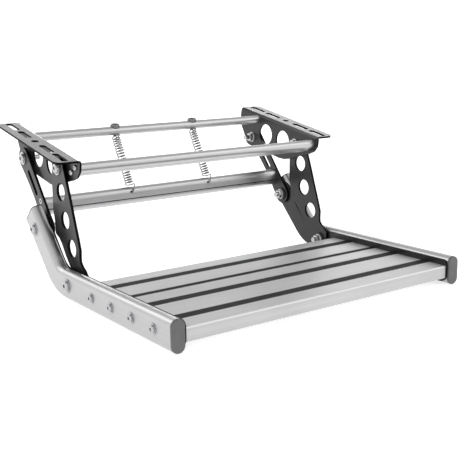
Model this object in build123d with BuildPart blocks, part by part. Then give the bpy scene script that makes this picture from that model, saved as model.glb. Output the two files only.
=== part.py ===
from build123d import *
import math
import os

os.makedirs("parts", exist_ok=True)

# ---------------------------------------------------------------------------
# Folding entry step: a tread on two bent side rails hangs from two fixing
# brackets on a pair of front arms and a pair of rear arms.
# X to the right, Y to the rear, Z up, tread level, rails standing on Z = 0.
# Profiles seen from the side are drawn in (y, z), with y counted from the
# front end of the rails, and are moved back by Y_MID so that the origin lies
# at the bottom centre of the whole step.
# ---------------------------------------------------------------------------

# driving dimensions, mm
Y_MID = 235.5764              # half of the overall depth, from the rail front

TREAD_LEN = 440.0           # length of the tread planks
PLANK_TOP = 28.2
PLANK_BOTTOM = 9.5
PLANK_FRONT = 0.7
PLANK_SPLIT = 148.6
PLANK_REAR = 237.4
SEAM_A, SEAM_B = 141.0, 152.2
STRIP_Y = [(39.0, 16.6), (101.8, 16.6), (200.4, 16.0)]   # centre, visible width

RAIL_IN, RAIL_OUT = 223.0, 241.2
RAIL_H = 41.0
RAIL_MID = 20.5
RAIL_WALL = 2.0
RAIL_R = 9.0                # corner radius, the section is nearly a full oval
BEND_Y = 303.7              # where the two centre lines of the rail cross
BEND_R = 50.0
RAIL_END = (382.8, 102.7)   # centre of the cut rear end
BEND_ANGLE = math.degrees(math.atan2(RAIL_END[1] - RAIL_MID, RAIL_END[0] - BEND_Y))

PLATE_IN, PLATE_OUT = 220.0, 223.0

P1 = (324.0, 175.0)         # front arm on bracket
P2 = (442.5, 177.0)         # rear arm on bracket
Q1 = (266.5, 21.5)          # front arm on rail
Q2 = (366.5, 84.0)          # rear arm on rail

TILT = 10.63                # fixing flange against the level tread, degrees
FLANGE_Y, FLANGE_Z = 276.0, 191.3
FLANGE_S0, FLANGE_S1 = -6.5, 198.0
FLANGE_OUT = 246.4
WEB_IN, WEB_OUT = 210.0, 213.0
SHEET = 3.0
ARM_T = 4.0
SLOT_X = 229.6
SLOT_S = [15.2, 58.4, 133.4, 176.6]
SLOT_LEN, SLOT_W = 37.0, 9.6
HOLE_S, HOLE_R = 97.0, 5.5

ARM_IN, ARM_OUT = 215.6, 219.6
SPACER_IN = 213.6             # inner face of the spacers under the lower nuts

BOLT_R = 4.0
RUN = 0.05                  # radial clearance of a running fit
SCREW_Y = [38.4, 90.0, 142.1, 194.8]
SCREW_Z = 20.7
SCREW_R = 3.0

REAR_TUBE = (425.5, 209.0)
REAR_TUBE_R = 7.0
SPRING_X = 72.0

ct, st = math.cos(math.radians(TILT)), math.sin(math.radians(TILT))
cb, sb = math.cos(math.radians(BEND_ANGLE)), math.sin(math.radians(BEND_ANGLE))


def side(x):
    """Plane across X at x, drawn in (y, z)."""
    return Plane(origin=(x, -Y_MID, 0), x_dir=(0, 1, 0), z_dir=(1, 0, 0))


def tilted(x):
    """Plane across X at x, drawn along and square to the fixing flange."""
    return Plane(origin=(x, FLANGE_Y - Y_MID, FLANGE_Z), x_dir=(0, ct, st), z_dir=(1, 0, 0))


def to_world(s, t):
    """(y, z) of a point given along and square to the fixing flange."""
    return (FLANGE_Y + s * ct - t * st, FLANGE_Z + s * st + t * ct)


def to_flange(y, z):
    """Along and square to the flange, of a point given in (y, z)."""
    return ((y - FLANGE_Y) * ct + (z - FLANGE_Z) * st,
            (z - FLANGE_Z) * ct - (y - FLANGE_Y) * st)


P1F, P2F = to_flange(*P1), to_flange(*P2)
TUBEF = to_flange(*REAR_TUBE)
BAR1_F = (6.5, -17.0)                     # front top bar, centre
BAR1_ANGLE = -43.0
BAR1_LEN, BAR1_T = 25.0, 13.0
BAR1_SCREW = 7.5
b1c, b1s = math.cos(math.radians(BAR1_ANGLE)), math.sin(math.radians(BAR1_ANGLE))
EAR_F = [(BAR1_F[0] + k * BAR1_SCREW * b1c, BAR1_F[1] + k * BAR1_SCREW * b1s) for k in (-1, 1)]

BAR2 = (389.0, 111.0)                     # lower cross bar, centre
BAR2_ANGLE = 98.0
BAR2_LEN, BAR2_T = 27.0, 15.0
b2c, b2s = math.cos(math.radians(BAR2_ANGLE)), math.sin(math.radians(BAR2_ANGLE))
BAR2_SCREWS = [(BAR2[0] + k * 8.3 * b2c, BAR2[1] + k * 8.3 * b2s) for k in (-1, 1)]

# ---------------------------------------------------------------------------
# side outlines used by more than one feature
# ---------------------------------------------------------------------------
with BuildSketch() as front_arm_outline:
    with BuildLine():
        Polyline((306.9, 179.0), (299.6, 159.0), (290.4, 134.5), (283.2, 113.0), (271.0, 78.5),
                 (267.6, 67.0), (268.4, 57.0), (268.0, 50.5), (263.6, 45.4), (255.5, 40.3), (249.6, 34.0),
                 (251.0, 14.0), (266.0, 8.0), (281.5, 13.6), (299.4, 39.3), (310.0, 50.6), (323.1, 68.0),
                 (329.5, 74.0), (341.2, 79.2), (341.0, 96.0), (344.8, 112.0), (344.2, 150.0), (341.3, 177.0),
                 (324.0, 190.0), close=True)
    make_face()
    fillet([v for v in front_arm_outline.vertices()
            if min(math.dist((v.X, v.Y), q) for q in
                   [(290.4, 134.5), (283.2, 113.0), (310.0, 50.6)]) < 0.5], 22)
    fillet([v for v in front_arm_outline.vertices()
            if min(math.dist((v.X, v.Y), q) for q in
                   [(271.0, 78.5), (267.6, 67.0), (268.4, 57.0), (268.0, 50.5), (323.1, 68.0), (341.2, 79.2)]) < 0.5], 3.0)
    fillet([v for v in front_arm_outline.vertices()
            if min(math.dist((v.X, v.Y), q) for q in [(341.0, 96.0), (344.8, 112.0)]) < 0.5], 12.0)
    with Locations(P1):
        Circle(17.5)
    with Locations(Q1):
        Circle(17.3)

# the rear arm is drawn along and square to the line between its two pivots
ARM2_LEN = math.dist(P2, Q2)
ARM2_U = ((Q2[0] - P2[0]) / ARM2_LEN, (Q2[1] - P2[1]) / ARM2_LEN)


def on_arm2(a, n):
    """(y, z) of a point at a along the rear arm from its upper pivot and n to the rear."""
    return (P2[0] + a * ARM2_U[0] - n * ARM2_U[1], P2[1] + a * ARM2_U[1] + n * ARM2_U[0])


with BuildSketch() as rear_arm_outline:
    with BuildLine():
        Polyline(*[on_arm2(a, n) for a, n in [(0.0, -16.2), (30.0, -15.6), (100.0, -15.0), (ARM2_LEN, -15.4),
                                             (ARM2_LEN, 15.4), (88.0, 11.8), (64.0, 10.4), (38.0, 11.4),
                                             (14.0, 14.0), (0.0, 16.2)]], close=True)
    make_face()
    with Locations(P2):
        Circle(16.2)
    with Locations(Q2):
        Circle(15.6)

with BuildSketch() as plate_outline:
    with BuildLine():
        Polyline((-0.8, 4.0), (310.5, 4.0), (379.0, 75.2), (357.0, 101.5), (345.2, 83.2), (342.3, 79.5),
                 (304.5, 36.5), (-0.8, 36.5), close=True)
    make_face()
    fillet([v for v in plate_outline.vertices() if math.dist((v.X, v.Y), (310.5, 4.0)) < 0.5], 66)
    fillet([v for v in plate_outline.vertices() if math.dist((v.X, v.Y), (304.5, 36.5)) < 0.5], 36)
    fillet([v for v in plate_outline.vertices() if v.X < 0 and v.Y < 10], 11)
    fillet([v for v in plate_outline.vertices() if v.X < 0 and v.Y > 30], 8)
    with Locations((365.4, 84.8)):
        Circle(19.4)

with BuildSketch() as web_outline:
    with BuildLine():
        Polyline((FLANGE_S0 + 0.5, -0.3), (-8.8, -0.9), (-10.9, -4.0), (-10.9, -15.0), (-4.7, -24.9),
                 (7.2, -32.2), (24.0, -39.4), (38.0, -46.0), (54.0, -54.0), (66.5, -58.4), (80.0, -60.2),
                 (165.0, -60.6), (174.0, -59.4), (185.0, -44.0), (197.0, -30.0), (200.0, -14.0), (199.0, -3.6),
                 (197.0, -0.8), (FLANGE_S1 - 1.5, -0.3), (FLANGE_S1 - 2.0, -5.0), (FLANGE_S0 + 2.0, -5.0), close=True)
    make_face()
    fillet([v for v in web_outline.vertices()
            if min(math.dist((v.X, v.Y), q) for q in
                   [(-10.9, -15.0), (-4.7, -24.9), (7.2, -32.2), (54.0, -54.0), (66.5, -58.4), (80.0, -60.2),
                    (174.0, -59.4), (185.0, -44.0), (197.0, -30.0), (200.0, -14.0)]) < 0.5], 6)

# ---------------------------------------------------------------------------
# fixing brackets: 3 mm sheet, upright web with a folded fixing flange
# ---------------------------------------------------------------------------
with BuildPart() as bracket_right:
    with BuildSketch(tilted(WEB_IN)):
        add(web_outline.sketch)
    extrude(amount=SHEET)
    # folded flange, drawn across its length
    with BuildSketch(Plane(origin=(0, FLANGE_Y - Y_MID + FLANGE_S0 * ct, FLANGE_Z + FLANGE_S0 * st),
                           x_dir=(1, 0, 0), z_dir=(0, -ct, -st))) as fold:
        with BuildLine():
            FilletPolyline((WEB_IN, -12.0), (WEB_IN, 0.0), (FLANGE_OUT, 0.0), radius=4.5)
            Line((FLANGE_OUT, 0.0), (FLANGE_OUT, -SHEET))
            FilletPolyline((FLANGE_OUT, -SHEET), (WEB_OUT, -SHEET), (WEB_OUT, -12.0), radius=1.5)
            Line((WEB_OUT, -12.0), (WEB_IN, -12.0))
        make_face()
    extrude(amount=-(FLANGE_S1 - FLANGE_S0))
    fillet([e for e in bracket_right.edges()
            if abs(e.center().X - FLANGE_OUT) < 0.01 and abs(e.length - SHEET) < 0.01], 9)
    # slots and round hole of the fixing row
    with BuildSketch(Plane(origin=(SLOT_X, FLANGE_Y - Y_MID, FLANGE_Z), x_dir=(0, ct, st), z_dir=(0, -st, ct))):
        with Locations(*[(s, 0) for s in SLOT_S]):
            SlotOverall(SLOT_LEN, SLOT_W)
        with Locations((HOLE_S, 0)):
            Circle(HOLE_R)
    extrude(amount=-SHEET - 1, mode=Mode.SUBTRACT)
    # two large round holes, the pivot holes and the bar and tube screw holes
    with BuildSketch(tilted(WEB_IN - 1)):
        with Locations((77.0, -29.0), (123.6, -30.0)):
            Circle(17.3)
        with Locations(P1F, P2F):
            Circle(BOLT_R)
        with Locations(*EAR_F):
            Circle(2.0)
        with Locations(TUBEF):
            Circle(2.5)
    extrude(amount=SHEET + 2, mode=Mode.SUBTRACT)
bracket_right.part.label = "bracket_right"
export_step(bracket_right.part, "parts/bracket_right.step")

with BuildPart() as bracket_left:
    mirror(bracket_right.part, about=Plane.YZ)
bracket_left.part.label = "bracket_left"
export_step(bracket_left.part, "parts/bracket_left.step")

# ---------------------------------------------------------------------------
# cross members between the brackets
# ---------------------------------------------------------------------------
with BuildPart() as rear_top_tube:
    with BuildSketch(side(-WEB_IN)):
        with Locations(REAR_TUBE):
            Circle(REAR_TUBE_R)
            Circle(REAR_TUBE_R - 2.0, mode=Mode.SUBTRACT)
    extrude(amount=2 * WEB_IN)
    # threaded end plugs welded into the tube
    for x0 in (-WEB_IN, WEB_IN - 12.0):
        with BuildSketch(side(x0)):
            with Locations(REAR_TUBE):
                Circle(REAR_TUBE_R - 2.0)
                Circle(2.5, mode=Mode.SUBTRACT)
        extrude(amount=12.0)
    with BuildSketch(Plane(origin=(0, REAR_TUBE[0] - Y_MID, REAR_TUBE[1] - 20))):
        with Locations((-SPRING_X, 0), (SPRING_X, 0)):
            Circle(2.0)
    extrude(amount=40, mode=Mode.SUBTRACT)
rear_top_tube.part.label = "rear_top_tube"
export_step(rear_top_tube.part, "parts/rear_top_tube.step")

with BuildPart() as front_top_bar:
    with BuildSketch(tilted(-WEB_IN)):
        with Locations(Location((BAR1_F[0], BAR1_F[1], 0), (0, 0, BAR1_ANGLE))):
            SlotOverall(BAR1_LEN, BAR1_T)
            with Locations((0.0, BAR1_T / 2 - 0.15), (0.0, -BAR1_T / 2 + 0.15), (5.0, BAR1_T / 2 - 0.15)):
                Circle(0.55, mode=Mode.SUBTRACT)
            Rectangle(6.6, BAR1_T - 3.6, mode=Mode.SUBTRACT)
            with Locations((-BAR1_SCREW, 0), (BAR1_SCREW, 0)):
                Circle(2.0, mode=Mode.SUBTRACT)
    extrude(amount=2 * WEB_IN)
front_top_bar.part.label = "front_top_bar"
export_step(front_top_bar.part, "parts/front_top_bar.step")

# ---------------------------------------------------------------------------
# front arms: flat plate with three round holes
# ---------------------------------------------------------------------------
FRONT_HOLES = [(317.0, 142.0), (307.6, 103.0), (290.6, 66.0)]
with BuildPart() as front_arm_right:
    with BuildSketch(side(ARM_IN)):
        add(front_arm_outline.sketch)
        with Locations(*FRONT_HOLES):
            Circle(13.0, mode=Mode.SUBTRACT)
        with Locations(P1, Q1):
            Circle(BOLT_R + RUN, mode=Mode.SUBTRACT)
    extrude(amount=ARM_T)
front_arm_right.part.label = "front_arm_right"
export_step(front_arm_right.part, "parts/front_arm_right.step")

with BuildPart() as front_arm_left:
    mirror(front_arm_right.part, about=Plane.YZ)
front_arm_left.part.label = "front_arm_left"
export_step(front_arm_left.part, "parts/front_arm_left.step")

# ---------------------------------------------------------------------------
# rear arms: narrow flat plate with a long slot
# ---------------------------------------------------------------------------
with BuildPart() as rear_arm_right:
    with BuildSketch(side(ARM_IN)):
        add(rear_arm_outline.sketch)
        with Locations(Location((*on_arm2(44.5, -1.6), 0), (0, 0, math.degrees(math.atan2(ARM2_U[1], ARM2_U[0]))))):
            SlotOverall(44.0, 7.0, mode=Mode.SUBTRACT)
        with Locations(P2, Q2):
            Circle(BOLT_R + RUN, mode=Mode.SUBTRACT)
        with Locations(*BAR2_SCREWS):
            Circle(2.5, mode=Mode.SUBTRACT)
    extrude(amount=ARM_T)
    # seats of the cross bar screws, sunk into the outer face
    with BuildSketch(side(ARM_OUT - 0.7)):
        with Locations(*BAR2_SCREWS):
            Circle(4.3)
    extrude(amount=1.0, mode=Mode.SUBTRACT)
rear_arm_right.part.label = "rear_arm_right"
export_step(rear_arm_right.part, "parts/rear_arm_right.step")

with BuildPart() as rear_arm_left:
    mirror(rear_arm_right.part, about=Plane.YZ)
rear_arm_left.part.label = "rear_arm_left"
export_step(rear_arm_left.part, "parts/rear_arm_left.step")

# lower cross bar between the rear arms, with a groove along each face
with BuildPart() as lower_cross_bar:
    with BuildSketch(side(-ARM_IN)):
        with Locations(Location((BAR2[0], BAR2[1], 0), (0, 0, BAR2_ANGLE))):
            SlotOverall(BAR2_LEN, BAR2_T)
            with Locations((-3.3, BAR2_T / 2), (-3.3, -BAR2_T / 2)):
                Rectangle(1.4, 6.0, mode=Mode.SUBTRACT)
            Rectangle(7.4, BAR2_T - 7.2, mode=Mode.SUBTRACT)
            with Locations((-8.3, 0), (8.3, 0)):
                Circle(2.5, mode=Mode.SUBTRACT)
    extrude(amount=2 * ARM_IN)
    # spring holes through the front wall
    with BuildSketch(Plane(origin=(0, 387.0 - Y_MID, 118.3), x_dir=(1, 0, 0), z_dir=(0, -b2s, b2c))):
        with Locations((-SPRING_X, 0), (SPRING_X, 0)):
            Circle(2.0)
    extrude(amount=9, mode=Mode.SUBTRACT)
lower_cross_bar.part.label = "lower_cross_bar"
export_step(lower_cross_bar.part, "parts/lower_cross_bar.step")

# ---------------------------------------------------------------------------
# side rails: flat oval tube bent once, with caps
# ---------------------------------------------------------------------------
with BuildPart() as rail_right:
    with BuildLine(side((RAIL_IN + RAIL_OUT) / 2)) as rail_path:
        FilletPolyline((0, RAIL_MID), (BEND_Y, RAIL_MID), RAIL_END, radius=BEND_R)
    with BuildSketch(Plane(origin=((RAIL_IN + RAIL_OUT) / 2, -Y_MID, RAIL_MID), x_dir=(1, 0, 0), z_dir=(0, 1, 0))):
        RectangleRounded(RAIL_OUT - RAIL_IN, RAIL_H, RAIL_R)
    sweep(path=rail_path.wires()[0])
    with BuildSketch(Plane(origin=((RAIL_IN + RAIL_OUT) / 2, -Y_MID, RAIL_MID), x_dir=(1, 0, 0), z_dir=(0, 1, 0))):
        RectangleRounded(RAIL_OUT - RAIL_IN - 2 * RAIL_WALL, RAIL_H - 2 * RAIL_WALL, RAIL_R - RAIL_WALL)
    sweep(path=rail_path.wires()[0], mode=Mode.SUBTRACT)
    with BuildSketch(side(RAIL_IN - 1)):
        with Locations(*[(y, SCREW_Z) for y in SCREW_Y]):
            Circle(SCREW_R)
        with Locations(Q1, Q2):
            Circle(BOLT_R)
    extrude(amount=RAIL_OUT - RAIL_IN + 2, mode=Mode.SUBTRACT)
rail_right.part.label = "rail_right"
export_step(rail_right.part, "parts/rail_right.step")

with BuildPart() as rail_left:
    mirror(rail_right.part, about=Plane.YZ)
rail_left.part.label = "rail_left"
export_step(rail_left.part, "parts/rail_left.step")

with BuildPart() as rail_front_caps:
    with BuildSketch(Plane(origin=((RAIL_IN + RAIL_OUT) / 2, -Y_MID, RAIL_MID), x_dir=(1, 0, 0), z_dir=(0, -1, 0))):
        RectangleRounded(RAIL_OUT - RAIL_IN, RAIL_H, RAIL_R)
    extrude(amount=4.0)
    fillet(rail_front_caps.faces().sort_by(Axis.Y)[0].edges(), 1.6)
    with BuildSketch(Plane(origin=((RAIL_IN + RAIL_OUT) / 2, -Y_MID, RAIL_MID), x_dir=(1, 0, 0), z_dir=(0, 1, 0))):
        RectangleRounded(RAIL_OUT - RAIL_IN - 2 * RAIL_WALL - 0.2, RAIL_H - 2 * RAIL_WALL - 0.2, RAIL_R - RAIL_WALL - 0.1)
        RectangleRounded(RAIL_OUT - RAIL_IN - 2 * RAIL_WALL - 4.2, RAIL_H - 2 * RAIL_WALL - 4.2, RAIL_R - RAIL_WALL - 2.1, mode=Mode.SUBTRACT)
    extrude(amount=14.0)
    mirror(about=Plane.YZ)
rail_front_caps.part.label = "rail_front_caps"
export_step(rail_front_caps.part, "parts/rail_front_caps.step")

with BuildPart() as rail_rear_plugs:
    with BuildSketch(Plane(origin=((RAIL_IN + RAIL_OUT) / 2, RAIL_END[0] - Y_MID, RAIL_END[1]),
                           x_dir=(1, 0, 0), z_dir=(0, cb, sb))):
        RectangleRounded(RAIL_OUT - RAIL_IN, RAIL_H, RAIL_R)
    extrude(amount=1.4)
    with BuildSketch(Plane(origin=((RAIL_IN + RAIL_OUT) / 2, RAIL_END[0] - Y_MID, RAIL_END[1]),
                           x_dir=(1, 0, 0), z_dir=(0, cb, sb))):
        RectangleRounded(RAIL_OUT - RAIL_IN - 2 * RAIL_WALL - 0.2, RAIL_H - 2 * RAIL_WALL - 0.2, RAIL_R - RAIL_WALL - 0.1)
        RectangleRounded(RAIL_OUT - RAIL_IN - 2 * RAIL_WALL - 4.2, RAIL_H - 2 * RAIL_WALL - 4.2, RAIL_R - RAIL_WALL - 2.1, mode=Mode.SUBTRACT)
    extrude(amount=-10.0)
    mirror(about=Plane.YZ)
rail_rear_plugs.part.label = "rail_rear_plugs"
export_step(rail_rear_plugs.part, "parts/rail_rear_plugs.step")

# ---------------------------------------------------------------------------
# side plates between planks and rails
# ---------------------------------------------------------------------------
with BuildPart() as side_plate_right:
    with BuildSketch(side(PLATE_IN)):
        add(plate_outline.sketch)
        with Locations(*[(y, SCREW_Z) for y in SCREW_Y]):
            Circle(SCREW_R, mode=Mode.SUBTRACT)
        with Locations(Q1, Q2):
            Circle(BOLT_R, mode=Mode.SUBTRACT)
    extrude(amount=PLATE_OUT - PLATE_IN)
side_plate_right.part.label = "side_plate_right"
export_step(side_plate_right.part, "parts/side_plate_right.step")

with BuildPart() as side_plate_left:
    mirror(side_plate_right.part, about=Plane.YZ)
side_plate_left.part.label = "side_plate_left"
export_step(side_plate_left.part, "parts/side_plate_left.step")

# ---------------------------------------------------------------------------
# tread planks: hollow profiles with grooves, raised lips and screw bosses
# ---------------------------------------------------------------------------
PZ = (PLANK_TOP + PLANK_BOTTOM) / 2
PH = PLANK_TOP - PLANK_BOTTOM
GROOVE_Z = 25.0


def box_pts(y0, y1, z0, z1):
    return [(y0, z0), (y1, z0), (y1, z1), (y0, z1)]


with BuildPart() as front_plank:
    with BuildSketch(side(-TREAD_LEN / 2)) as front_profile:
        Polygon(*box_pts(PLANK_FRONT, SEAM_A, PLANK_BOTTOM, PLANK_TOP), align=None)
        Polygon(*box_pts(SEAM_A - 1, PLANK_SPLIT, PLANK_BOTTOM, GROOVE_Z), align=None)
        fillet(front_profile.vertices().group_by(Axis.X)[0], 2.3)
        for yc, w in STRIP_Y[:2]:
            with Locations((yc - w / 2 - 1.7, PLANK_TOP), (yc + w / 2 + 1.7, PLANK_TOP)):
                Ellipse(1.5, 0.22)
            Polygon(*box_pts(yc - w / 2, yc + w / 2, GROOVE_Z, PLANK_TOP + 2), align=None, mode=Mode.SUBTRACT)
            Polygon(*box_pts(yc - w / 2 - 1, yc + w / 2 + 1, GROOVE_Z, GROOVE_Z + 1.4), align=None, mode=Mode.SUBTRACT)
        with Locations((SEAM_A - 1.8, PLANK_TOP)):
            Ellipse(1.5, 0.22)
        for y0, y1, z1 in [(3.2, 29.0, 26.2), (31.0, 49.0, 23.2), (51.0, 90.6, 26.2), (94.5, 113.5, 23.2),
                           (115.5, 136.0, 26.2)]:
            Polygon(*box_pts(y0, y1, PLANK_BOTTOM + 2, z1), align=None, mode=Mode.SUBTRACT)
        for yc in SCREW_Y[:2]:
            with Locations((yc, SCREW_Z)):
                Circle(4.2)
            Polygon(*box_pts(yc - 1, yc + 1, PLANK_BOTTOM + 1, SCREW_Z), align=None)
            Polygon(*box_pts(yc - 1, yc + 1, SCREW_Z, GROOVE_Z - 0.5), align=None)
        with Locations(*[(yc, SCREW_Z) for yc in SCREW_Y[:3]]):
            Circle(SCREW_R, mode=Mode.SUBTRACT)
    extrude(amount=TREAD_LEN)
front_plank.part.label = "front_plank"
export_step(front_plank.part, "parts/front_plank.step")

with BuildPart() as rear_plank:
    with BuildSketch(side(-TREAD_LEN / 2)) as rear_profile:
        Polygon(*box_pts(SEAM_B, PLANK_REAR, PLANK_BOTTOM, PLANK_TOP), align=None)
        Polygon(*box_pts(PLANK_SPLIT, SEAM_B + 1, PLANK_BOTTOM, GROOVE_Z), align=None)
        fillet(rear_profile.vertices().group_by(Axis.X)[-1], 3.0)
        for yc, w in STRIP_Y[2:]:
            with Locations((yc - w / 2 - 1.7, PLANK_TOP), (yc + w / 2 + 1.7, PLANK_TOP)):
                Ellipse(1.5, 0.22)
            Polygon(*box_pts(yc - w / 2, yc + w / 2, GROOVE_Z, PLANK_TOP + 2), align=None, mode=Mode.SUBTRACT)
            Polygon(*box_pts(yc - w / 2 - 1, yc + w / 2 + 1, GROOVE_Z, GROOVE_Z + 1.4), align=None, mode=Mode.SUBTRACT)
        with Locations((SEAM_B + 1.8, PLANK_TOP)):
            Ellipse(1.5, 0.22)
        for y0, y1, z1 in [(154.0, 189.0, 26.2), (191.0, 211.0, 23.2), (213.0, 235.2, 26.2)]:
            Polygon(*box_pts(y0, y1, PLANK_BOTTOM + 2, z1), align=None, mode=Mode.SUBTRACT)
        with Locations((SCREW_Y[3], SCREW_Z)):
            Circle(4.2)
        Polygon(*box_pts(SCREW_Y[3] - 1, SCREW_Y[3] + 1, PLANK_BOTTOM + 1, SCREW_Z), align=None)
        with Locations((SCREW_Y[3], SCREW_Z)):
            Circle(SCREW_R, mode=Mode.SUBTRACT)
    extrude(amount=TREAD_LEN)
rear_plank.part.label = "rear_plank"
export_step(rear_plank.part, "parts/rear_plank.step")

# rubber strips pushed into the grooves: a foot, two edge channels and a middle band
with BuildPart() as tread_strip_front:
    with BuildSketch(side(-TREAD_LEN / 2)):
        yc, w = STRIP_Y[0]
        Polygon(*box_pts(yc - w / 2 - 0.9, yc + w / 2 + 0.9, GROOVE_Z, GROOVE_Z + 1.3), align=None)
        Polygon(*box_pts(yc - w / 2 + 0.1, yc + w / 2 - 0.1, GROOVE_Z, PLANK_TOP + 0.1), align=None)
        with Locations((yc - 4.9, PLANK_TOP), (yc + 4.9, PLANK_TOP), (yc - 1.6, PLANK_TOP), (yc + 1.6, PLANK_TOP)):
            Rectangle(1.2, 1.6, mode=Mode.SUBTRACT)
    extrude(amount=TREAD_LEN)
tread_strip_front.part.label = "tread_strip_front"
export_step(tread_strip_front.part, "parts/tread_strip_front.step")

with BuildPart() as tread_strip_middle:
    with BuildSketch(side(-TREAD_LEN / 2)):
        yc, w = STRIP_Y[1]
        Polygon(*box_pts(yc - w / 2 - 0.9, yc + w / 2 + 0.9, GROOVE_Z, GROOVE_Z + 1.3), align=None)
        Polygon(*box_pts(yc - w / 2 + 0.1, yc + w / 2 - 0.1, GROOVE_Z, PLANK_TOP + 0.1), align=None)
        with Locations((yc - 4.9, PLANK_TOP), (yc + 4.9, PLANK_TOP), (yc - 1.6, PLANK_TOP), (yc + 1.6, PLANK_TOP)):
            Rectangle(1.2, 1.6, mode=Mode.SUBTRACT)
    extrude(amount=TREAD_LEN)
tread_strip_middle.part.label = "tread_strip_middle"
export_step(tread_strip_middle.part, "parts/tread_strip_middle.step")

with BuildPart() as tread_strip_rear:
    with BuildSketch(side(-TREAD_LEN / 2)):
        yc, w = STRIP_Y[2]
        Polygon(*box_pts(yc - w / 2 - 0.9, yc + w / 2 + 0.9, GROOVE_Z, GROOVE_Z + 1.3), align=None)
        Polygon(*box_pts(yc - w / 2 + 0.1, yc + w / 2 - 0.1, GROOVE_Z, PLANK_TOP + 0.1), align=None)
        with Locations((yc - 4.9, PLANK_TOP), (yc + 4.9, PLANK_TOP), (yc - 1.6, PLANK_TOP), (yc + 1.6, PLANK_TOP)):
            Rectangle(1.2, 1.6, mode=Mode.SUBTRACT)
    extrude(amount=TREAD_LEN)
tread_strip_rear.part.label = "tread_strip_rear"
export_step(tread_strip_rear.part, "parts/tread_strip_rear.step")

with BuildPart() as seam_strip:
    with BuildSketch(side(-TREAD_LEN / 2)):
        yc = (SEAM_A + SEAM_B) / 2
        Polygon(*box_pts(SEAM_A + 0.1, SEAM_B - 0.1, GROOVE_Z, PLANK_TOP - 0.1), align=None)
        with Locations((yc, PLANK_TOP)):
            Rectangle(2.4, 2.8, mode=Mode.SUBTRACT)
    extrude(amount=TREAD_LEN)
seam_strip.part.label = "seam_strip"
export_step(seam_strip.part, "parts/seam_strip.step")

# ---------------------------------------------------------------------------
# pivot hardware
# ---------------------------------------------------------------------------
# upper pivots: domed bolt from outside, nut on the inner face of the bracket
with BuildPart() as upper_pivot_bolts:
    with BuildSketch(side(194.5)):
        with Locations(P1, P2):
            Circle(BOLT_R)
    extrude(amount=26.6)
    with BuildSketch(side(221.1)):
        with Locations(P1, P2):
            Circle(7.6)
    extrude(amount=3.4)
    fillet([e for e in upper_pivot_bolts.edges().filter_by(GeomType.CIRCLE)
            if abs(e.center().X - 224.5) < 0.01], 2.6)
    with BuildSketch(side(224.5)):
        with Locations(P1, P2):
            RegularPolygon(2.9, 6)
    extrude(amount=-2.0, mode=Mode.SUBTRACT)
    mirror(about=Plane.YZ)
upper_pivot_bolts.part.label = "upper_pivot_bolts"
export_step(upper_pivot_bolts.part, "parts/upper_pivot_bolts.step")

with BuildPart() as upper_pivot_washers:
    with BuildSketch(side(219.7)):
        with Locations(P1, P2):
            Circle(9.8)
            Circle(BOLT_R, mode=Mode.SUBTRACT)
    extrude(amount=1.4)
    mirror(about=Plane.YZ)
upper_pivot_washers.part.label = "upper_pivot_washers"
export_step(upper_pivot_washers.part, "parts/upper_pivot_washers.step")

with BuildPart() as upper_pivot_bushes:
    with BuildSketch(side(WEB_OUT)):
        with Locations(P1, P2):
            Circle(9.0)
            Circle(BOLT_R, mode=Mode.SUBTRACT)
    extrude(amount=ARM_IN - WEB_OUT - 0.08)
    mirror(about=Plane.YZ)
upper_pivot_bushes.part.label = "upper_pivot_bushes"
export_step(upper_pivot_bushes.part, "parts/upper_pivot_bushes.step")

with BuildPart() as upper_pivot_nuts:
    with BuildSketch(side(WEB_IN)):
        with Locations(P1, P2):
            Circle(8.6)
            Circle(BOLT_R, mode=Mode.SUBTRACT)
    extrude(amount=-1.2)
    with BuildSketch(side(WEB_IN - 1.2)):
        with Locations(P1, P2):
            RegularPolygon(7.5, 6)
            Circle(BOLT_R, mode=Mode.SUBTRACT)
    extrude(amount=-5.4)
    mirror(about=Plane.YZ)
upper_pivot_nuts.part.label = "upper_pivot_nuts"
export_step(upper_pivot_nuts.part, "parts/upper_pivot_nuts.step")

# front lower pivot: bolt through rail, side plate and front arm
with BuildPart() as front_lower_bolts:
    with BuildSketch(side(201.5)):
        with Locations(Q1):
            Circle(BOLT_R)
    extrude(amount=RAIL_OUT + 1.3 - 201.5)
    with BuildSketch(side(RAIL_OUT + 1.3)):
        with Locations(Q1):
            Circle(7.6)
    extrude(amount=3.2)
    fillet([e for e in front_lower_bolts.edges().filter_by(GeomType.CIRCLE)
            if abs(e.center().X - (RAIL_OUT + 4.5)) < 0.01], 2.5)
    with BuildSketch(side(RAIL_OUT + 4.5)):
        with Locations(Q1):
            RegularPolygon(2.9, 6)
    extrude(amount=-2.0, mode=Mode.SUBTRACT)
    mirror(about=Plane.YZ)
front_lower_bolts.part.label = "front_lower_bolts"
export_step(front_lower_bolts.part, "parts/front_lower_bolts.step")

with BuildPart() as front_lower_nuts:
    with BuildSketch(side(SPACER_IN)):
        with Locations(Q1):
            Circle(8.6)
            Circle(BOLT_R, mode=Mode.SUBTRACT)
    extrude(amount=-1.2)
    with BuildSketch(side(SPACER_IN - 1.2)):
        with Locations(Q1):
            RegularPolygon(7.5, 6)
            Circle(BOLT_R, mode=Mode.SUBTRACT)
    extrude(amount=-5.6)
    mirror(about=Plane.YZ)
front_lower_nuts.part.label = "front_lower_nuts"
export_step(front_lower_nuts.part, "parts/front_lower_nuts.step")

with BuildPart() as front_lower_spacers:
    with BuildSketch(side(SPACER_IN)):
        with Locations(Q1):
            Circle(10.6)
            Circle(BOLT_R, mode=Mode.SUBTRACT)
    extrude(amount=ARM_IN - SPACER_IN - 0.08)
    mirror(about=Plane.YZ)
front_lower_spacers.part.label = "front_lower_spacers"
export_step(front_lower_spacers.part, "parts/front_lower_spacers.step")

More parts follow.
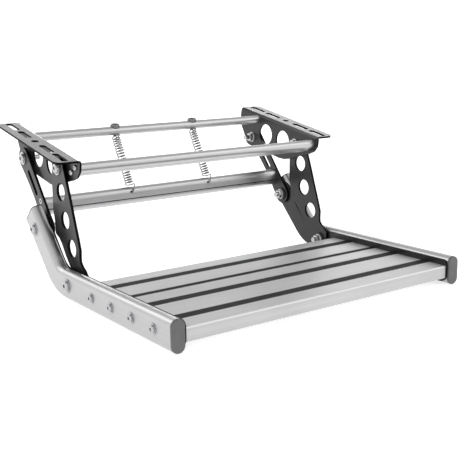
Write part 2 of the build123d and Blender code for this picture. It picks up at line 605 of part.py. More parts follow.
with BuildPart() as front_lower_bushes:
    with BuildSketch(side(ARM_OUT + 0.08)):
        with Locations(Q1):
            Circle(10.0)
            Circle(BOLT_R, mode=Mode.SUBTRACT)
    extrude(amount=PLATE_IN - ARM_OUT - 0.08)
    mirror(about=Plane.YZ)
front_lower_bushes.part.label = "front_lower_bushes"
export_step(front_lower_bushes.part, "parts/front_lower_bushes.step")

# rear lower pivot: outer half on the rail, inner half on the rear arm
with BuildPart() as rear_lower_bolts:
    with BuildSketch(side(PLATE_IN)):
        with Locations(Q2):
            Circle(BOLT_R)
    extrude(amount=RAIL_OUT + 1.3 - PLATE_IN)
    with BuildSketch(side(RAIL_OUT + 1.3)):
        with Locations(Q2):
            Circle(7.6)
    extrude(amount=3.2)
    fillet([e for e in rear_lower_bolts.edges().filter_by(GeomType.CIRCLE)
            if abs(e.center().X - (RAIL_OUT + 4.5)) < 0.01], 2.5)
    with BuildSketch(side(RAIL_OUT + 4.5)):
        with Locations(Q2):
            RegularPolygon(2.9, 6)
    extrude(amount=-2.0, mode=Mode.SUBTRACT)
    mirror(about=Plane.YZ)
rear_lower_bolts.part.label = "rear_lower_bolts"
export_step(rear_lower_bolts.part, "parts/rear_lower_bolts.step")

with BuildPart() as rear_lower_nuts:
    with BuildSketch(side(ARM_OUT)):
        with Locations(Q2):
            Circle(BOLT_R)
    extrude(amount=202.2 - ARM_OUT)
    with BuildSketch(side(SPACER_IN)):
        with Locations(Q2):
            Circle(8.6)
    extrude(amount=-1.2)
    with BuildSketch(side(SPACER_IN - 1.2)):
        with Locations(Q2):
            RegularPolygon(7.5, 6)
    extrude(amount=-5.6)
    mirror(about=Plane.YZ)
rear_lower_nuts.part.label = "rear_lower_nuts"
export_step(rear_lower_nuts.part, "parts/rear_lower_nuts.step")

with BuildPart() as rear_lower_spacers:
    with BuildSketch(side(SPACER_IN)):
        with Locations(Q2):
            Circle(10.6)
            Circle(BOLT_R, mode=Mode.SUBTRACT)
    extrude(amount=ARM_IN - SPACER_IN)
    mirror(about=Plane.YZ)
rear_lower_spacers.part.label = "rear_lower_spacers"
export_step(rear_lower_spacers.part, "parts/rear_lower_spacers.step")

with BuildPart() as lower_pivot_washers:
    with BuildSketch(side(RAIL_OUT)):
        with Locations(Q1, Q2):
            Circle(10.2)
            Circle(BOLT_R, mode=Mode.SUBTRACT)
    extrude(amount=1.3)
    mirror(about=Plane.YZ)
lower_pivot_washers.part.label = "lower_pivot_washers"
export_step(lower_pivot_washers.part, "parts/lower_pivot_washers.step")

# ---------------------------------------------------------------------------
# screws
# ---------------------------------------------------------------------------
with BuildPart() as tread_screws:
    with BuildSketch(side(198.0)):
        with Locations(*[(y, SCREW_Z) for y in SCREW_Y]):
            Circle(SCREW_R)
    extrude(amount=RAIL_OUT - 198.0)
    with BuildSketch(side(RAIL_OUT)):
        with Locations(*[(y, SCREW_Z) for y in SCREW_Y]):
            Circle(7.5)
    extrude(amount=1.1)
    with BuildSketch(side(RAIL_OUT + 1.1)):
        with Locations(*[(y, SCREW_Z) for y in SCREW_Y]):
            Circle(5.4)
    extrude(amount=2.2)
    fillet([e for e in tread_screws.edges().filter_by(GeomType.CIRCLE)
            if abs(e.center().X - (RAIL_OUT + 3.3)) < 0.01], 1.7)
    with BuildSketch(side(RAIL_OUT + 3.3)):
        with Locations(*[(y, SCREW_Z) for y in SCREW_Y]):
            RegularPolygon(2.3, 6)
    extrude(amount=-1.5, mode=Mode.SUBTRACT)
    mirror(about=Plane.YZ)
tread_screws.part.label = "tread_screws"
export_step(tread_screws.part, "parts/tread_screws.step")

with BuildPart() as front_bar_screws:
    with BuildSketch(tilted(196.0)):
        with Locations(*EAR_F):
            Circle(2.0)
    extrude(amount=WEB_OUT - 196.0)
    with BuildSketch(tilted(WEB_OUT)):
        with Locations(*EAR_F):
            Circle(3.9)
    extrude(amount=2.6)
    fillet([e for e in front_bar_screws.edges().filter_by(GeomType.CIRCLE)
            if abs(e.center().X - (WEB_OUT + 2.6)) < 0.01], 1.5)
    with BuildSketch(tilted(WEB_OUT + 2.6)):
        with Locations(*EAR_F):
            RegularPolygon(1.6, 6)
    extrude(amount=-1.3, mode=Mode.SUBTRACT)
    mirror(about=Plane.YZ)
front_bar_screws.part.label = "front_bar_screws"
export_step(front_bar_screws.part, "parts/front_bar_screws.step")

with BuildPart() as rear_tube_screws:
    with BuildSketch(tilted(202.0)):
        with Locations(TUBEF):
            Circle(2.5)
    extrude(amount=WEB_OUT - 202.0)
    with BuildSketch(tilted(WEB_OUT)):
        with Locations(TUBEF):
            Circle(4.6)
    extrude(amount=3.0)
    fillet([e for e in rear_tube_screws.edges().filter_by(GeomType.CIRCLE)
            if abs(e.center().X - (WEB_OUT + 3.0)) < 0.01], 1.6)
    with BuildSketch(tilted(WEB_OUT + 3.0)):
        with Locations(TUBEF):
            RegularPolygon(2.0, 6)
    extrude(amount=-1.5, mode=Mode.SUBTRACT)
    mirror(about=Plane.YZ)
rear_tube_screws.part.label = "rear_tube_screws"
export_step(rear_tube_screws.part, "parts/rear_tube_screws.step")

with BuildPart() as cross_bar_screws:
    with BuildSketch(side(198.0)):
        with Locations(*BAR2_SCREWS):
            Circle(2.5)
    extrude(amount=ARM_OUT - 0.7 - 198.0)
    with BuildSketch(side(ARM_OUT - 0.7)):
        with Locations(*BAR2_SCREWS):
            Circle(4.2)
    extrude(amount=0.9)
    with BuildSketch(side(ARM_OUT + 0.2)):
        with Locations(*BAR2_SCREWS):
            RegularPolygon(1.8, 6)
    extrude(amount=-1.4, mode=Mode.SUBTRACT)
    mirror(about=Plane.YZ)
cross_bar_screws.part.label = "cross_bar_screws"
export_step(cross_bar_screws.part, "parts/cross_bar_screws.step")

# ---------------------------------------------------------------------------
# springs between the rear top tube and the lower cross bar
# ---------------------------------------------------------------------------
with BuildPart() as spring_screws:
    with BuildSketch(Plane(origin=(0, REAR_TUBE[0] - Y_MID, REAR_TUBE[1] + REAR_TUBE_R - 2.0))):
        with Locations((-SPRING_X, 0), (SPRING_X, 0)):
            Circle(7.5)
    extrude(amount=6.8)
    fillet([e for e in spring_screws.edges().filter_by(GeomType.CIRCLE)
            if abs(e.center().Z - (REAR_TUBE[1] + REAR_TUBE_R + 4.8)) < 0.01], 4.2)
    # cross recess
    with BuildSketch(Plane(origin=(0, REAR_TUBE[0] - Y_MID, REAR_TUBE[1] + REAR_TUBE_R + 4.8))):
        with Locations((-SPRING_X, 0), (SPRING_X, 0)):
            Rectangle(5.4, 1.4)
            Rectangle(1.4, 5.4)
    extrude(amount=-1.8, mode=Mode.SUBTRACT)
    # the head's underside is hollowed to sit on the round tube
    with BuildSketch(side(-120.0)):
        with Locations(REAR_TUBE):
            Circle(REAR_TUBE_R)
    extrude(amount=240.0, mode=Mode.SUBTRACT)
    with BuildSketch(Plane(origin=(0, REAR_TUBE[0] - Y_MID, REAR_TUBE[1] - 8.6))):
        with Locations((-SPRING_X, 0), (SPRING_X, 0)):
            Circle(1.7)
    extrude(amount=8.6 + REAR_TUBE_R + 0.5)
spring_screws.part.label = "spring_screws"
export_step(spring_screws.part, "parts/spring_screws.step")

SPRING_TOP = (424.7, 201.0)
SPRING_BOT = (385.2, 127.6)
sdy, sdz = SPRING_BOT[0] - SPRING_TOP[0], SPRING_BOT[1] - SPRING_TOP[1]
sl = math.hypot(sdy, sdz)
sdy, sdz = sdy / sl, sdz / sl

with BuildPart() as tension_spring_right:
    with BuildSketch(Plane(origin=(SPRING_X, SPRING_TOP[0] - Y_MID + 1.0 * sdy, SPRING_TOP[1] + 1.0 * sdz),
                           x_dir=(1, 0, 0), z_dir=(0, sdy, sdz))):
        Circle(6.9)
        Circle(5.5, mode=Mode.SUBTRACT)
    extrude(amount=sl - 3.0)
    # end hooks
    with BuildSketch(Plane(origin=(SPRING_X, SPRING_TOP[0] - Y_MID, SPRING_TOP[1]),
                           x_dir=(1, 0, 0), z_dir=(0, sdy, sdz))):
        with Locations((6.2, 0)):
            Circle(0.55)
    extrude(amount=2.0)
    with BuildSketch(Plane(origin=(SPRING_X, SPRING_BOT[0] - Y_MID, SPRING_BOT[1]),
                           x_dir=(1, 0, 0), z_dir=(0, sdy, sdz))):
        with Locations((6.2, 0)):
            Circle(0.55)
    extrude(amount=-3.0)
tension_spring_right.part.label = "tension_spring_right"
export_step(tension_spring_right.part, "parts/tension_spring_right.step")

with BuildPart() as tension_spring_left:
    mirror(tension_spring_right.part, about=Plane.YZ)
tension_spring_left.part.label = "tension_spring_left"
export_step(tension_spring_left.part, "parts/tension_spring_left.step")
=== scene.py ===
import math
import bpy
import bmesh
from mathutils import Matrix, Vector


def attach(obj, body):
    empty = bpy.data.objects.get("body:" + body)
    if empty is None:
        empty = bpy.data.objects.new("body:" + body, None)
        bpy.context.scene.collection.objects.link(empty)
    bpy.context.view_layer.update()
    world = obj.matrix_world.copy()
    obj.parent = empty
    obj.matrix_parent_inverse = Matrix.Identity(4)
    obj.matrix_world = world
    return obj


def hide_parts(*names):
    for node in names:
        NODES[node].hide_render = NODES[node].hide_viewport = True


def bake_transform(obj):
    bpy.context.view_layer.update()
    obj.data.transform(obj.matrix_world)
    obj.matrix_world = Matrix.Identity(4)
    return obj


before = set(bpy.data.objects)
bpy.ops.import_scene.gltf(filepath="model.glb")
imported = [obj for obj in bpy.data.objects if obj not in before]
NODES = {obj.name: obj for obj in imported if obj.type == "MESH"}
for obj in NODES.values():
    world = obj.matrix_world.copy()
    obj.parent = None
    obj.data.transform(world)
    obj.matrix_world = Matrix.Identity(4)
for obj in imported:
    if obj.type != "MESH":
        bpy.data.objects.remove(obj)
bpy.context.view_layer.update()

scene = bpy.context.scene

Y_MID = 0.2355764


def P(x, y, z):
    """A point given in mm, y counted from the front end of the rails."""
    return Vector((x / 1000.0, y / 1000.0 - Y_MID, z / 1000.0))


# ---------------------------------------------------------------------------
# camera
# ---------------------------------------------------------------------------
def make_camera():
    yaw, pitch, roll = math.radians(35.83), math.radians(-12.61), math.radians(-0.76)
    fwd = Vector((math.sin(yaw) * math.cos(pitch), math.cos(yaw) * math.cos(pitch), math.sin(pitch)))
    right0 = Vector((math.cos(yaw), -math.sin(yaw), 0.0))
    up0 = right0.cross(fwd)
    c, s = math.cos(roll), math.sin(roll)
    right = c * right0 + s * up0
    up = -s * right0 + c * up0
    cam_data = bpy.data.cameras.new("photo_camera")
    cam = bpy.data.objects.new("photo_camera", cam_data)
    scene.collection.objects.link(cam)
    m = Matrix.Identity(4)
    for i in range(3):
        m[i][0], m[i][1], m[i][2] = right[i], up[i], -fwd[i]
    m.translation = P(-729.62, -803.46, 347.53)
    cam.matrix_world = m
    cam_data.sensor_width = 36.0
    cam_data.lens = 876.93 / 470.0 * 36.0
    cam_data.clip_start = 0.05
    cam_data.clip_end = 60.0
    scene.camera = cam


make_camera()


# ---------------------------------------------------------------------------
# materials
# ---------------------------------------------------------------------------
class Mat:
    """A node material with the shared coordinates at hand."""

    def __init__(self, name):
        self.m = bpy.data.materials.new(name)
        self.m.use_nodes = True
        self.t = self.m.node_tree
        self.t.nodes.clear()
        self.out = self.t.nodes.new("ShaderNodeOutputMaterial")
        self.b = self.t.nodes.new("ShaderNodeBsdfPrincipled")
        self.t.links.new(self.b.outputs["BSDF"], self.out.inputs["Surface"])
        self.co = self.t.nodes.new("ShaderNodeTexCoord").outputs["Object"]

    def node(self, kind, **values):
        n = self.t.nodes.new(kind)
        for k, v in values.items():
            setattr(n, k, v)
        return n

    def link(self, a, b):
        self.t.links.new(a, b)

    def noise(self, scale, detail=3.0, rough=0.55, stretch=None):
        n = self.node("ShaderNodeTexNoise")
        n.inputs["Scale"].default_value = scale
        n.inputs["Detail"].default_value = detail
        n.inputs["Roughness"].default_value = rough
        if stretch:
            mp = self.node("ShaderNodeMapping")
            mp.inputs["Scale"].default_value = stretch
            self.link(self.co, mp.inputs["Vector"])
            self.link(mp.outputs["Vector"], n.inputs["Vector"])
        else:
            self.link(self.co, n.inputs["Vector"])
        return n.outputs["Fac"]

    def ramp(self, fac, stops):
        r = self.node("ShaderNodeValToRGB")
        els = r.color_ramp.elements
        while len(els) > 1:
            els.remove(els[-1])
        for i, (pos, col) in enumerate(stops):
            e = els[0] if i == 0 else els.new(pos)
            e.position = pos
            e.color = (col[0], col[1], col[2], 1.0) if isinstance(col, tuple) else (col, col, col, 1.0)
        self.link(fac, r.inputs["Fac"])
        return r.outputs["Color"]

    def maprange(self, fac, a, b, lo=0.3, hi=0.7):
        r = self.node("ShaderNodeMapRange")
        r.inputs["From Min"].default_value = lo
        r.inputs["From Max"].default_value = hi
        r.inputs["To Min"].default_value = a
        r.inputs["To Max"].default_value = b
        self.link(fac, r.inputs["Value"])
        return r.outputs["Result"]

    def bump(self, height, strength, distance, prev=None):
        n = self.node("ShaderNodeBump")
        n.inputs["Strength"].default_value = strength
        n.inputs["Distance"].default_value = distance
        self.link(height, n.inputs["Height"])
        if prev is not None:
            self.link(prev, n.inputs["Normal"])
        return n.outputs["Normal"]


def powder_black(name, kind):
    """Black powder coat: fine orange peel, faint dust, corners with a patchy painted highlight, and rougher cut edges
    carrying painted shade (a near-black metallic base).

    kind is "plate" for flat plates across X, "bracket" for the folded ones."""
    k = Mat(name)
    peel = k.noise(950.0, 2.0)
    broad = k.noise(22.0, 4.0)
    base = k.ramp(broad, [(0.30, (0.0085, 0.0085, 0.0092)), (0.72, (0.0150, 0.0150, 0.0160))])
    norm = k.node("ShaderNodeTexCoord").outputs["Normal"]
    sep = k.node("ShaderNodeSeparateXYZ")
    k.link(norm, sep.inputs[0])
    nx = k.node("ShaderNodeMath", operation="ABSOLUTE")
    k.link(sep.outputs["X"], nx.inputs[0])
    pos = k.node("ShaderNodeSeparateXYZ")
    k.link(k.co, pos.inputs[0])
    # painted shade: the cut edges (for plates, the faces not turned across X) get a near-black metallic base that
    # stands in for shade
    if kind == "plate":
        shaded_edge = k.maprange(nx.outputs["Value"], 1.0, 0.0, 0.25, 0.75)
    else:
        tilt = math.radians(10.63)
        along = k.node("ShaderNodeVectorMath", operation="DOT_PRODUCT")
        k.link(norm, along.inputs[0])
        along.inputs[1].default_value = (0.0, math.cos(tilt), math.sin(tilt))
        la = k.node("ShaderNodeMath", operation="ABSOLUTE")
        k.link(along.outputs["Value"], la.inputs[0])
        ends = k.maprange(la.outputs["Value"], 0.0, 1.0, 0.30, 0.70)
        ax = k.node("ShaderNodeMath", operation="ABSOLUTE")
        k.link(pos.outputs["X"], ax.inputs[0])
        outer = k.maprange(ax.outputs["Value"], 0.0, 1.0, 0.2185, 0.2205)
        flat = k.maprange(nx.outputs["Value"], 0.0, 1.0, 0.55, 0.85)
        walls = k.node("ShaderNodeMath", operation="MULTIPLY")
        k.link(outer, walls.inputs[0])
        k.link(flat, walls.inputs[1])
        both = k.node("ShaderNodeMath", operation="MAXIMUM")
        k.link(ends, both.inputs[0])
        k.link(walls.outputs["Value"], both.inputs[1])
        # the lower rim of the web, also given painted shade
        down = k.node("ShaderNodeVectorMath", operation="DOT_PRODUCT")
        k.link(norm, down.inputs[0])
        down.inputs[1].default_value = (0.0, math.sin(tilt), -math.cos(tilt))
        rim = k.maprange(down.outputs["Value"], 0.0, 1.0, 0.20, 0.60)
        inner = k.maprange(ax.outputs["Value"], 1.0, 0.0, 0.2152, 0.2170)
        rims = k.node("ShaderNodeMath", operation="MULTIPLY")
        k.link(rim, rims.inputs[0])
        k.link(inner, rims.inputs[1])
        more = k.node("ShaderNodeMath", operation="MAXIMUM")
        k.link(both.outputs["Value"], more.inputs[0])
        k.link(rims.outputs["Value"], more.inputs[1])
        shaded_edge = more.outputs["Value"]
        # the flange tops carry a thicker, glossier layer of coat
        up = k.node("ShaderNodeVectorMath", operation="DOT_PRODUCT")
        k.link(norm, up.inputs[0])
        up.inputs[1].default_value = (0.0, -math.sin(tilt), math.cos(tilt))
        k.link(k.maprange(up.outputs["Value"], 0.0, 0.75, 0.80, 0.98), k.b.inputs["Coat Weight"])
        k.b.inputs["Coat IOR"].default_value = 1.62
        k.b.inputs["Coat Roughness"].default_value = 0.16
    # painted highlight: the corners are painted a lighter grey in noise patches, kept off the cut edges
    bev = k.node("ShaderNodeBevel")
    bev.samples = 4
    bev.inputs["Radius"].default_value = 0.0006
    geo = k.node("ShaderNodeNewGeometry")
    dot = k.node("ShaderNodeVectorMath", operation="DOT_PRODUCT")
    k.link(bev.outputs["Normal"], dot.inputs[0])
    k.link(geo.outputs["Normal"], dot.inputs[1])
    edge = k.maprange(dot.outputs["Value"], 1.0, 0.0, 0.80, 0.985)
    patch = k.maprange(k.noise(140.0, 5.0), 0.0, 0.5, 0.48, 0.68)
    edge_highlight = k.node("ShaderNodeMath", operation="MULTIPLY")
    k.link(edge, edge_highlight.inputs[0])
    k.link(patch, edge_highlight.inputs[1])
    keep = k.maprange(shaded_edge, 1.0, 0.0, 0.0, 1.0)
    edge_highlight_kept = k.node("ShaderNodeMath", operation="MULTIPLY")
    k.link(edge_highlight.outputs["Value"], edge_highlight_kept.inputs[0])
    k.link(keep, edge_highlight_kept.inputs[1])
    mix = k.node("ShaderNodeMix", data_type="RGBA")
    k.link(edge_highlight_kept.outputs["Value"], mix.inputs["Factor"])
    k.link(base, mix.inputs["A"])
    mix.inputs["B"].default_value = (0.045, 0.045, 0.047, 1.0)
    # painted shade: the cut edges are mixed to near-black
    shaded_edge_colour = k.node("ShaderNodeMix", data_type="RGBA")
    k.link(shaded_edge, shaded_edge_colour.inputs["Factor"])
    k.link(mix.outputs["Result"], shaded_edge_colour.inputs["A"])
    shaded_edge_colour.inputs["B"].default_value = (0.0075, 0.0075, 0.008, 1.0)
    k.link(shaded_edge_colour.outputs["Result"], k.b.inputs["Base Color"])
    k.link(shaded_edge, k.b.inputs["Metallic"])
    ro = k.node("ShaderNodeMath", operation="ADD")
    k.link(k.maprange(k.noise(55.0, 4.0), 0.27, 0.37), ro.inputs[0])
    half = k.node("ShaderNodeMath", operation="MULTIPLY")
    k.link(shaded_edge, half.inputs[0])
    half.inputs[1].default_value = 0.25
    k.link(half.outputs["Value"], ro.inputs[1])
    k.link(ro.outputs["Value"], k.b.inputs["Roughness"])
    k.b.inputs["IOR"].default_value = 1.44
    k.link(k.bump(peel, 0.10, 0.0003), k.b.inputs["Normal"])
    return k.m


def satin_aluminium(name, base, rough, along, grain=0.06, metallic=1.0, spread=0.10, groove=None, edge=None):
    """Satin anodised aluminium with drawing lines running along one axis.

    groove is (y, z, angle, offset, half width, half thickness) of a bar groove that is painted near-black as painted
    shade."""
    k = Mat(name)
    stretch = {"x": (2.0, 260.0, 260.0), "y": (260.0, 2.0, 260.0), "none": (60.0, 60.0, 60.0)}[along]
    coarse = {"x": (0.6, 70.0, 70.0), "y": (70.0, 0.6, 70.0), "none": (20.0, 20.0, 20.0)}[along]
    lines = k.noise(6.0, 6.0, 0.65, stretch)
    bands = k.noise(5.0, 4.0, 0.6, coarse)
    broad = k.noise(9.0, 3.0)
    add = k.node("ShaderNodeMath", operation="ADD")
    k.link(bands, add.inputs[0])
    k.link(broad, add.inputs[1])
    lo = tuple(c * (1.0 - spread) for c in base)
    col = k.ramp(k.maprange(add.outputs["Value"], 0.0, 1.0, 0.72, 1.28), [(0.0, lo), (1.0, base)])
    if groove:
        gy, gz, ang, off, hw, ht = groove
        ca, sa = math.cos(math.radians(ang)), math.sin(math.radians(ang))
        shift = k.node("ShaderNodeVectorMath", operation="SUBTRACT")
        k.link(k.co, shift.inputs[0])
        shift.inputs[1].default_value = (0.0, gy, gz)
        along_s = k.node("ShaderNodeVectorMath", operation="DOT_PRODUCT")
        k.link(shift.outputs["Vector"], along_s.inputs[0])
        along_s.inputs[1].default_value = (0.0, ca, sa)
        across = k.node("ShaderNodeVectorMath", operation="DOT_PRODUCT")
        k.link(shift.outputs["Vector"], across.inputs[0])
        across.inputs[1].default_value = (0.0, -sa, ca)
        sub = k.node("ShaderNodeMath", operation="SUBTRACT")
        k.link(along_s.outputs["Value"], sub.inputs[0])
        sub.inputs[1].default_value = off
        ds = k.node("ShaderNodeMath", operation="ABSOLUTE")
        k.link(sub.outputs["Value"], ds.inputs[0])
        dt = k.node("ShaderNodeMath", operation="ABSOLUTE")
        k.link(across.outputs["Value"], dt.inputs[0])
        near = k.maprange(ds.outputs["Value"], 1.0, 0.0, hw, hw + 0.0004)
        deep = k.maprange(dt.outputs["Value"], 1.0, 0.0, ht - 0.0004, ht - 0.0001)
        # painted shade: inside the groove the colour is mixed to near-black
        groove_shade = k.node("ShaderNodeMath", operation="MULTIPLY")
        k.link(near, groove_shade.inputs[0])
        k.link(deep, groove_shade.inputs[1])
        dark = k.node("ShaderNodeMix", data_type="RGBA")
        k.link(groove_shade.outputs["Value"], dark.inputs["Factor"])
        k.link(col, dark.inputs["A"])
        dark.inputs["B"].default_value = (0.05, 0.05, 0.05, 1.0)
        col = dark.outputs["Result"]
    if edge:
        # painted highlight: faces turned towards the edge normal, the rounded front edges, are painted brighter
        face = k.node("ShaderNodeVectorMath", operation="DOT_PRODUCT")
        k.link(k.node("ShaderNodeTexCoord").outputs["Normal"], face.inputs[0])
        face.inputs[1].default_value = edge
        fillet_highlight = k.node("ShaderNodeMix", data_type="RGBA")
        k.link(k.maprange(face.outputs["Value"], 0.0, 1.0, 0.80, 0.93), fillet_highlight.inputs["Factor"])
        k.link(col, fillet_highlight.inputs["A"])
        fillet_highlight.inputs["B"].default_value = (0.74, 0.74, 0.745, 1.0)
        col = fillet_highlight.outputs["Result"]
    k.link(col, k.b.inputs["Base Color"])
    k.b.inputs["Metallic"].default_value = metallic
    k.link(k.maprange(lines, rough - grain, rough + grain), k.b.inputs["Roughness"])
    k.link(k.bump(lines, 0.10, 0.0003, k.bump(k.noise(2400.0, 1.0), 0.05, 0.0002)), k.b.inputs["Normal"])
    return k.m


def zinc(name="zinc_plated_steel", base=(0.55, 0.55, 0.56), rough=0.26):
    k = Mat(name)
    k.link(k.ramp(k.noise(180.0, 4.0), [(0.30, tuple(c * 0.82 for c in base)), (0.70, base)]), k.b.inputs["Base Color"])
    k.b.inputs["Metallic"].default_value = 1.0
    k.link(k.maprange(k.noise(420.0, 3.0), rough - 0.06, rough + 0.10), k.b.inputs["Roughness"])
    k.link(k.bump(k.noise(1300.0, 2.0), 0.06, 0.0002), k.b.inputs["Normal"])
    return k.m


def plastic(name, base, rough, grain=1700.0, strength=0.22):
    k = Mat(name)
    k.link(k.ramp(k.noise(70.0, 3.0), [(0.30, tuple(c * 0.88 for c in base)), (0.70, tuple(c * 1.08 for c in base))]), k.b.inputs["Base Color"])
    k.link(k.maprange(k.noise(300.0, 2.0), rough - 0.05, rough + 0.05), k.b.inputs["Roughness"])
    k.b.inputs["Specular IOR Level"].default_value = 0.4
    k.link(k.bump(k.noise(grain, 2.0), strength, 0.0003), k.b.inputs["Normal"])
    return k.m


def rubber():
    k = Mat("ribbed_rubber")
    k.link(k.ramp(k.noise(40.0, 4.0), [(0.30, (0.012, 0.012, 0.013)), (0.70, (0.024, 0.024, 0.025))]), k.b.inputs["Base Color"])
    k.link(k.maprange(k.noise(500.0, 2.0), 0.62, 0.78), k.b.inputs["Roughness"])
    k.b.inputs["Specular IOR Level"].default_value = 0.35
    k.link(k.bump(k.noise(2200.0, 2.0), 0.25, 0.0003), k.b.inputs["Normal"])
    return k.m


M_BLACK = powder_black("powder_coated_plate", "plate")
M_BRACKET = powder_black("powder_coated_bracket", "bracket")
M_RAIL = satin_aluminium("rail_anodised", (0.50, 0.50, 0.505), 0.36, "y", 0.05, 1.0, 0.06)
# the plank's rounded nose carries a painted highlight
M_PLANK = satin_aluminium("plank_anodised", (0.55, 0.55, 0.555), 0.50, "x", 0.08, 0.50, 0.14, None,
                          (0.0, -0.707, 0.707))
M_BAR = satin_aluminium("bar_anodised", (0.54, 0.54, 0.545), 0.38, "x", 0.05, 1.0, 0.08)
# the lower bar's groove carries painted shade
M_LOWBAR = satin_aluminium("lower_bar_anodised", (0.51, 0.51, 0.515), 0.34, "x", 0.05, 1.0, 0.08,
                           (0.389 - Y_MID, 0.111, 98.0, -0.0033, 0.0009, 0.0075))
M_ZINC = zinc("zinc_plated_steel", (0.50, 0.50, 0.51), 0.20)
M_SPRING = zinc("spring_wire", (0.20, 0.20, 0.205), 0.22)
M_DARKZINC = zinc("dark_zinc", (0.20, 0.20, 0.205), 0.24)
M_CAP = plastic("grey_plastic_cap", (0.110, 0.110, 0.113), 0.52)
M_PLUG = plastic("black_plastic", (0.022, 0.022, 0.023), 0.45)
M_RUBBER = rubber()


def assign(obj, mat):
    obj.data.materials.clear()
    obj.data.materials.append(mat)


def refine(obj, width, segments=2, angle=32.0):
    """Breaks the sharp edges of a carried-over part."""
    w = obj.modifiers.new("weld", "WELD")
    w.merge_threshold = 0.000004
    d = obj.modifiers.new("flat", "DECIMATE")
    d.decimate_type = "DISSOLVE"
    d.angle_limit = math.radians(0.6)
    b = obj.modifiers.new("edge", "BEVEL")
    b.width = width
    b.segments = segments
    b.limit_method = "ANGLE"
    b.angle_limit = math.radians(angle)
    b.harden_normals = True
    b.use_clamp_overlap = True


def smooth(obj, angle=30.0):
    me = obj.data
    for p in me.polygons:
        p.use_smooth = True
    try:
        me.normals_split_custom_set([(0, 0, 0)] * len(me.loops))
    except Exception:
        pass
    me.set_sharp_from_angle(angle=math.radians(angle))


BY_MAT = {
    M_BRACKET: ["bracket_left", "bracket_right"],
    M_BLACK: ["front_arm_left", "front_arm_right", "rear_arm_left", "rear_arm_right", "side_plate_left", "side_plate_right"],
    M_RAIL: ["rail_left", "rail_right"],
    M_PLANK: ["front_plank", "rear_plank"],
    M_BAR: ["rear_top_tube", "front_top_bar"],
    M_LOWBAR: ["lower_cross_bar"],
    M_RUBBER: ["tread_strip_front", "tread_strip_middle", "tread_strip_rear", "seam_strip"],
    M_CAP: ["rail_front_caps"],
    M_PLUG: ["rail_rear_plugs", "upper_pivot_bushes", "front_lower_bushes", "rear_lower_spacers", "front_lower_spacers"],
    M_ZINC: ["upper_pivot_bolts", "upper_pivot_washers", "upper_pivot_nuts", "front_bar_screws", "rear_tube_screws",
             "cross_bar_screws", "rear_lower_nuts", "tread_screws", "front_lower_bolts", "front_lower_nuts",
             "rear_lower_bolts", "lower_pivot_washers"],
    M_DARKZINC: ["spring_screws"],
    M_SPRING: ["tension_spring_left", "tension_spring_right"],
}
for mat, names in BY_MAT.items():
    for n in names:
        assign(NODES[n], mat)

for n in ["bracket_left", "bracket_right", "front_arm_left", "front_arm_right", "rear_arm_left", "rear_arm_right",
          "side_plate_left", "side_plate_right"]:
    refine(NODES[n], 0.00045, 2)


# ---------------------------------------------------------------------------
# small builders
# ---------------------------------------------------------------------------
def mesh_object(name, verts, faces, mat, body, smooth_angle=None):
    me = bpy.data.meshes.new(name)
    me.from_pydata([tuple(v) for v in verts], [], faces)
    me.validate()
    me.update()
    ob = bpy.data.objects.new(name, me)
    scene.collection.objects.link(ob)
    me.materials.append(mat)
    if smooth_angle is not None:
        for p in me.polygons:
            p.use_smooth = True
        me.set_sharp_from_angle(angle=math.radians(smooth_angle))
    if body:
        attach(ob, body)
    return ob


def tube_along(points, radius, sides=8, closed_ends=True):
    """Vertices and faces of a round wire along a line of points."""
    verts, faces = [], []
    n = len(points)
    tangent = [(points[min(i + 1, n - 1)] - points[max(i - 1, 0)]).normalized() for i in range(n)]
    ref = Vector((1, 0, 0)) if abs(tangent[0].x) < 0.9 else Vector((0, 0, 1))
    u = (ref - tangent[0] * ref.dot(tangent[0])).normalized()
    for i in range(n):
        if i:
            axis = tangent[i - 1].cross(tangent[i])
            if axis.length > 1e-9:
                ang = tangent[i - 1].angle(tangent[i])
                u = Matrix.Rotation(ang, 3, axis.normalized()) @ u
            u = (u - tangent[i] * u.dot(tangent[i])).normalized()
        v = tangent[i].cross(u)
        for k in range(sides):
            a = 2 * math.pi * k / sides
            verts.append(points[i] + radius * (math.cos(a) * u + math.sin(a) * v))
    for i in range(n - 1):
        for k in range(sides):
            a, b = i * sides + k, i * sides + (k + 1) % sides
            faces.append((a, b, b + sides, a + sides))
    if closed_ends:
        faces.append(tuple(reversed(range(sides))))
        faces.append(tuple(range((n - 1) * sides, n * sides)))
    return verts, faces


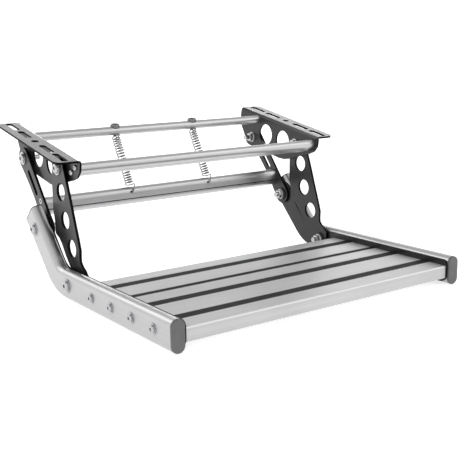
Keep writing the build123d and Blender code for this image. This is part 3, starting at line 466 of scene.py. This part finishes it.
# ---------------------------------------------------------------------------
# tension springs: close-wound wire with a loop at each end
# ---------------------------------------------------------------------------
def spring(name, x, node):
    top, bot = P(x, 424.7, 201.0), P(x, 385.2, 127.6)
    ax = (bot - top).normalized()
    side = Vector((1, 0, 0))
    nor = ax.cross(side).normalized()
    wire, coil_r = 0.00080, 0.0061
    body0 = top + ax * 0.0008
    body_len = (bot - top).length - 0.0022
    turns, per = 19, 22
    pts = []
    for i in range(turns * per + 1):
        t = i / (turns * per)
        # end coils lie closer together than the stretched middle
        u = t - 0.018 * math.sin(2 * math.pi * t)
        a = 2 * math.pi * turns * t
        pts.append(body0 + ax * (body_len * u) + coil_r * (math.cos(a) * side + math.sin(a) * nor))
    # upper loop, closed round the screw shank under the tube
    shank = P(x, 425.5, 201.0)
    up = []
    for i in range(1, 19):
        t = i / 18.0
        a = 2 * math.pi * 0.95 * t
        k = min(1.0, t * 2.2)
        k = k * k * (3 - 2 * k)
        centre = body0.lerp(shank, k)
        r = coil_r + (0.0028 - coil_r) * k
        lie = nor.lerp(Vector((0, 1, 0)), k).normalized()
        up.append(centre + r * (math.cos(a) * side - math.sin(a) * lie))
    pts = list(reversed(up)) + pts
    # lower hook: the wire leaves the last turn, runs down in front of the bar and turns into its hole
    hole = P(x, 380.6, 117.4)
    into = Vector((0, 0.990, 0.139))
    end = pts[-1]
    tan = (pts[-1] - pts[-2]).normalized()
    knots = [end, end + tan * 0.0035 + ax * 0.0012, P(x + 5.2, 381.0, 124.6), P(x + 3.2, 378.9, 120.2), P(x + 0.8, 378.6, 117.6),
             hole + into * 0.0012, hole + into * 0.0060]
    low = []
    for i in range(len(knots) - 1):
        p0 = knots[max(i - 1, 0)]
        p1, p2 = knots[i], knots[i + 1]
        p3 = knots[min(i + 2, len(knots) - 1)]
        for q in range(1, 7):
            t = q / 6.0
            low.append(0.5 * ((2 * p1) + (p2 - p0) * t + (2 * p0 - 5 * p1 + 4 * p2 - p3) * t * t
                              + (3 * p1 - p0 - 3 * p2 + p3) * t * t * t))
    pts += low
    v, f = tube_along(pts, wire, 8)
    ob = mesh_object(name, v, f, M_SPRING, None, 60)
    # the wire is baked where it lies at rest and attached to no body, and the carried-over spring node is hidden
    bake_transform(ob)
    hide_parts(node)
    return ob


spring("spring_wire_left", -72.0, "tension_spring_left")
spring("spring_wire_right", 72.0, "tension_spring_right")


# ---------------------------------------------------------------------------
# floor and light
# ---------------------------------------------------------------------------
def make_stage():
    me = bpy.data.meshes.new("floor")
    bm = bmesh.new()
    bmesh.ops.create_circle(bm, cap_ends=True, segments=96, radius=14.0)
    for v in bm.verts:
        v.co.z = -0.0004
    bm.to_mesh(me)
    bm.free()
    ob = bpy.data.objects.new("floor", me)
    scene.collection.objects.link(ob)
    k = Mat("pale_floor")
    k.link(k.ramp(k.noise(3.0, 2.0), [(0.3, (0.80, 0.80, 0.80)), (0.7, (0.82, 0.82, 0.82))]), k.b.inputs["Base Color"])
    k.b.inputs["Roughness"].default_value = 0.9
    k.b.inputs["Specular IOR Level"].default_value = 0.1
    # lit from below like a light table, so that shadows stay faint
    k.b.inputs["Emission Color"].default_value = (1.0, 1.0, 1.0, 1.0)
    k.b.inputs["Emission Strength"].default_value = 0.58
    me.materials.append(k.m)

    world = bpy.data.worlds.new("studio")
    scene.world = world
    world.use_nodes = True
    t = world.node_tree
    t.nodes.clear()
    out = t.nodes.new("ShaderNodeOutputWorld")
    bg = t.nodes.new("ShaderNodeBackground")
    # white round the horizon, greyer overhead, as in a tent with a dark ceiling
    co = t.nodes.new("ShaderNodeTexCoord")
    sep = t.nodes.new("ShaderNodeSeparateXYZ")
    ramp = t.nodes.new("ShaderNodeValToRGB")
    els = ramp.color_ramp.elements
    els[0].position, els[0].color = 0.46, (1.0, 1.0, 1.0, 1.0)
    els[1].position, els[1].color = 0.95, (0.52, 0.52, 0.52, 1.0)
    mid = els.new(0.64)
    mid.color = (0.72, 0.72, 0.72, 1.0)
    t.links.new(co.outputs["Generated"], sep.inputs[0])
    t.links.new(sep.outputs["Z"], ramp.inputs["Fac"])
    t.links.new(ramp.outputs["Color"], bg.inputs["Color"])
    bg.inputs["Strength"].default_value = 1.08
    t.links.new(bg.outputs["Background"], out.inputs["Surface"])

    def area(name, loc, target, size, power):
        d = bpy.data.lights.new(name, "AREA")
        d.shape = "RECTANGLE"
        d.size, d.size_y = size
        d.energy = power
        o = bpy.data.objects.new(name, d)
        scene.collection.objects.link(o)
        o.location = loc
        o.rotation_mode = "QUATERNION"
        o.rotation_quaternion = (Vector(target) - Vector(loc)).to_track_quat("-Z", "Y")

    area("back_softbox", (-1.35, 2.1, 1.75), (0, 0, 0.1), (1.9, 1.3), 12)
    area("strip_softbox", (1.60, 2.45, 0.75), (0, 0, 0.1), (2.1, 0.5), 10)
    area("right_softbox", (1.8, -1.75, 1.75), (0, 0, 0.1), (1.6, 1.5), 9.5)
    area("front_softbox", (-2.4, -1.6, 2.2), (0, 0, 0.1), (2.0, 1.6), 9)


make_stage()
scene.view_settings.view_transform = "Standard"
scene.view_settings.look = "None"
